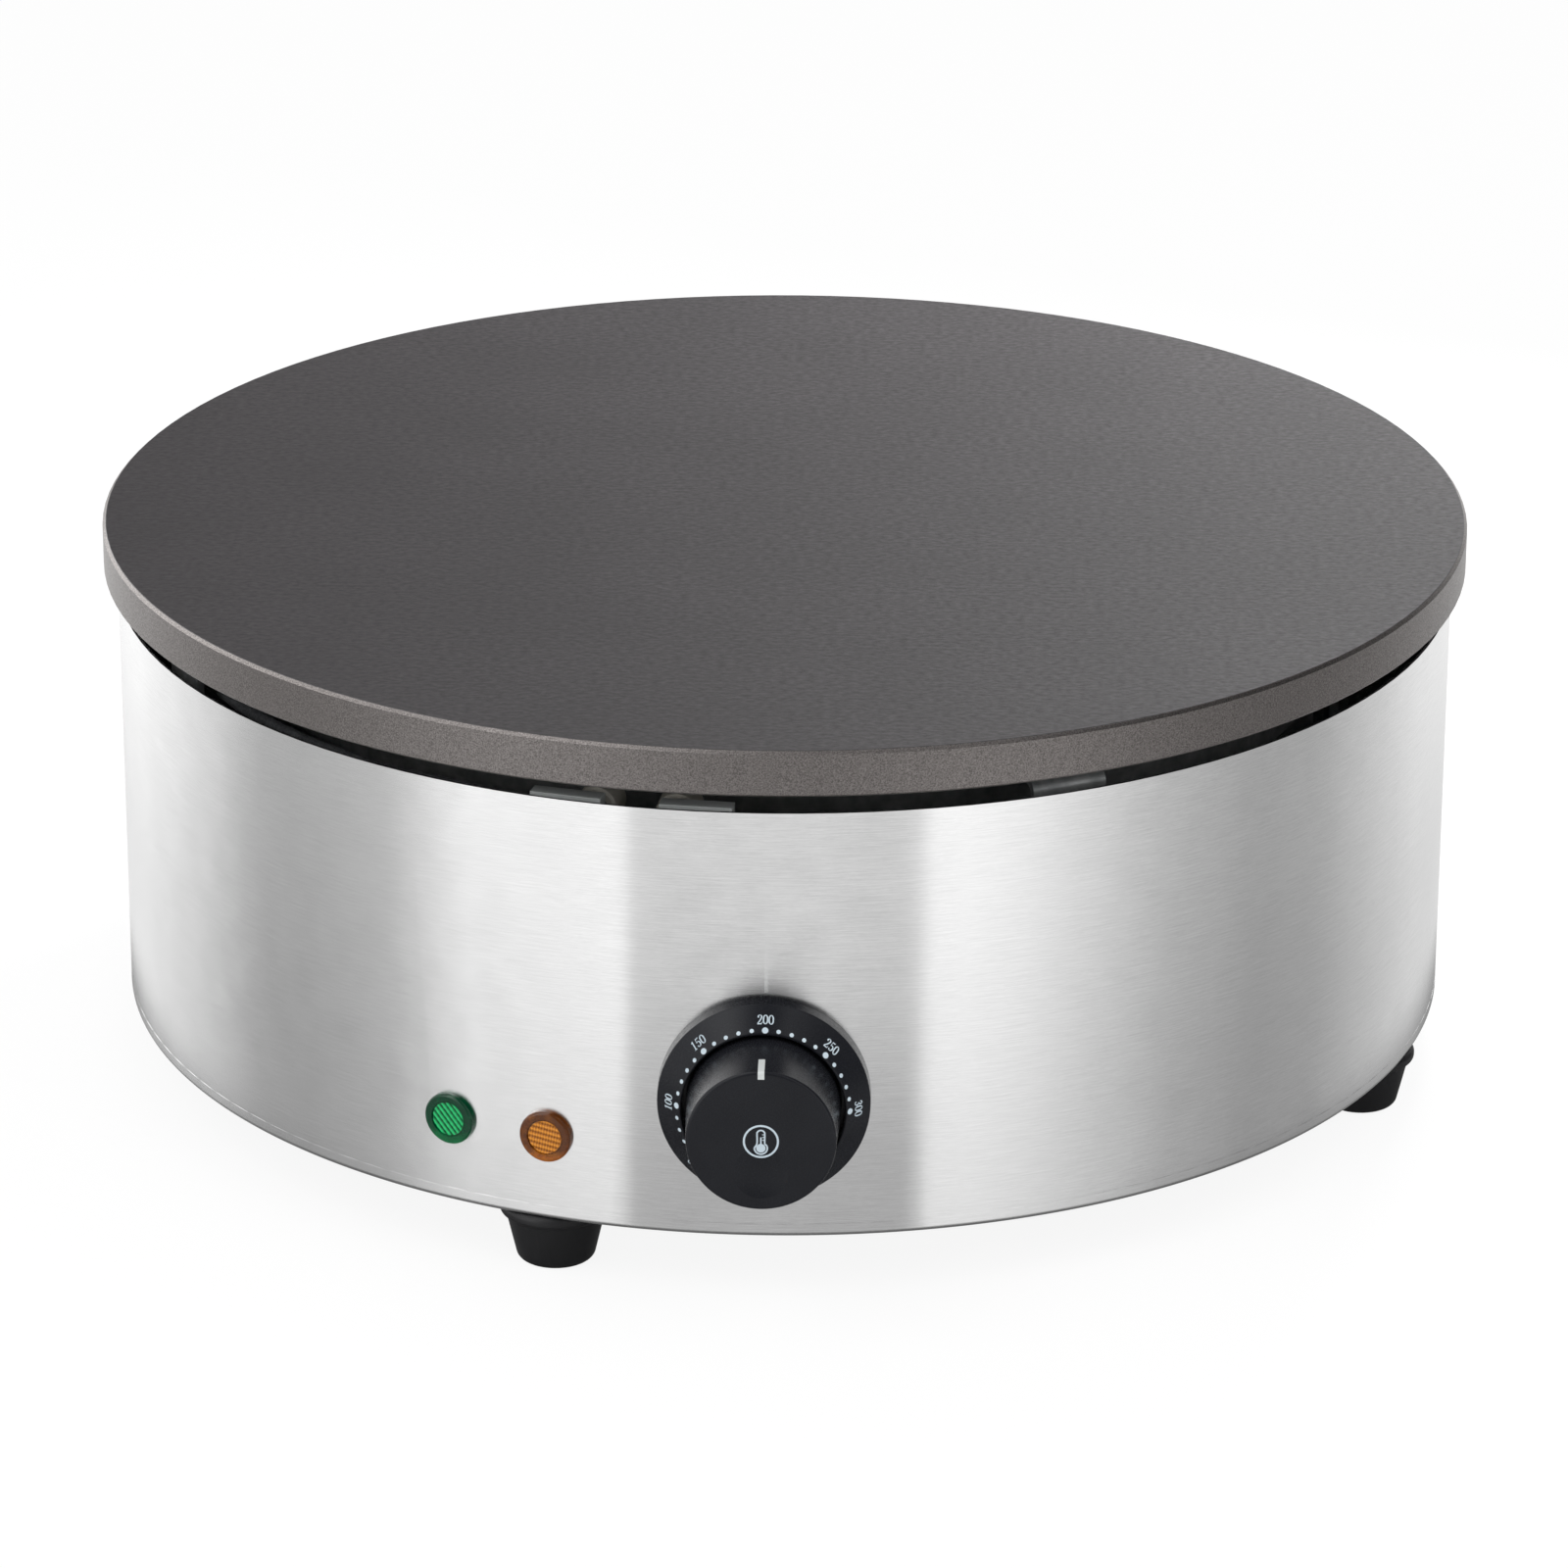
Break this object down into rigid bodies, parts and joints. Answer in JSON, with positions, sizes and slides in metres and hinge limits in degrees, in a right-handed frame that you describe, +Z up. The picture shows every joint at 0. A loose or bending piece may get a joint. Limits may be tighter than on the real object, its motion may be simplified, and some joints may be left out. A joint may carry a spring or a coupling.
{
  "type": "electric crepe maker",
  "caption": "Round electric crepe maker: a flat cast-iron cooking plate over a brushed steel housing with a thermostat dial, pilot lamps and rubber feet.",
  "frame": {"origin": "on the cooking plate's axis at the level of the worktop, under the feet", "axes": "+Z up; the dial faces -Y and the cable gland +Y; +X is to the right as the user sees it"},
  "size_m": [0.3999, 0.4514, 0.1635],
  "materials": {
    "cast_iron": "fine-ground and seasoned, satin",
    "stainless": "brushed along its length",
    "galvanised": "zinc-coated sheet, satin",
    "zinc_steel": "bright zinc-plated",
    "element_sheath": "annealed stainless sheath, dull green-grey",
    "ceramic": "unglazed steatite",
    "mineral_wool": "fibrous blanket",
    "copper": "drawn copper, dull",
    "brass": "plain",
    "black_plastic": "satin thermoset moulding",
    "white_plastic": "plain moulding",
    "green_lens": "moulded clear rim with a green window",
    "amber_lens": "moulded clear rim with an amber window",
    "rubber": "matt",
    "brown_silicone": "silicone insulation",
    "blue_silicone": "braided sleeve over silicone",
    "green_silicone": "green and yellow insulation",
    "thin_lead": "silicone insulation"
  },
  "bodies": {
    "housing": {"amber_lamp_lens": "amber_lens", "base_nuts": "zinc_steel", "base_plate": "galvanised", "block_screws": "zinc_steel", "body_shell": "stainless", "bulb_clip": "galvanised", "bulb_clip_screws": "zinc_steel", "cable_gland_body": "black_plastic", "capillary_tube": "copper", "crimp_terminals": "white_plastic", "cutout_screws": "zinc_steel", "dial_bezel": "black_plastic", "earth_lead": "green_silicone", "earth_lug": "brass", "earth_stud": "brass", "element_clamp_plate": "galvanised", "element_insulators": "ceramic", "foot_1": "rubber", "foot_2": "rubber", "foot_3": "rubber", "foot_4": "rubber", "foot_screws": "zinc_steel", "foot_washers": "zinc_steel", "gland_cap": "black_plastic", "gland_locknut": "black_plastic", "gland_seal": "rubber", "green_lamp_lens": "green_lens", "griddle_plate": "cast_iron", "heating_element": "element_sheath", "insulation_blanket": "mineral_wool", "insulation_tray": "galvanised", "lamp_bodies": "white_plastic", "lamp_leads": "thin_lead", "lamp_retainers": "galvanised", "live_leads": "brown_silicone", "neutral_lead": "blue_silicone", "plate_studs": "zinc_steel", "sensor_bulb": "copper", "stud_nuts": "zinc_steel", "support_bolts": "zinc_steel", "support_bracket_1": "galvanised", "support_bracket_2": "galvanised", "support_bracket_3": "galvanised", "support_bracket_4": "galvanised", "support_screws": "zinc_steel", "terminal_block": "white_plastic", "terminal_screws": "zinc_steel", "thermal_cutout": "ceramic", "thermostat_body": "black_plastic", "thermostat_diaphragm": "copper", "thermostat_screws": "zinc_steel", "thermostat_terminals": "brass", "thermostat_yoke": "galvanised"},
    "knob": {"control_knob": "black_plastic", "knob_pointer": "white_plastic", "knob_spring": "zinc_steel", "thermostat_spindle": "zinc_steel"}
  },
  "joints": [
    {"name": "knob_turn", "type": "hinge", "parent": "housing", "child": "knob", "pos_m": [0, -0.2, 0.0607], "axis": [0, 1, 0], "range_deg": [-177.8, 88.9]}
  ]
}
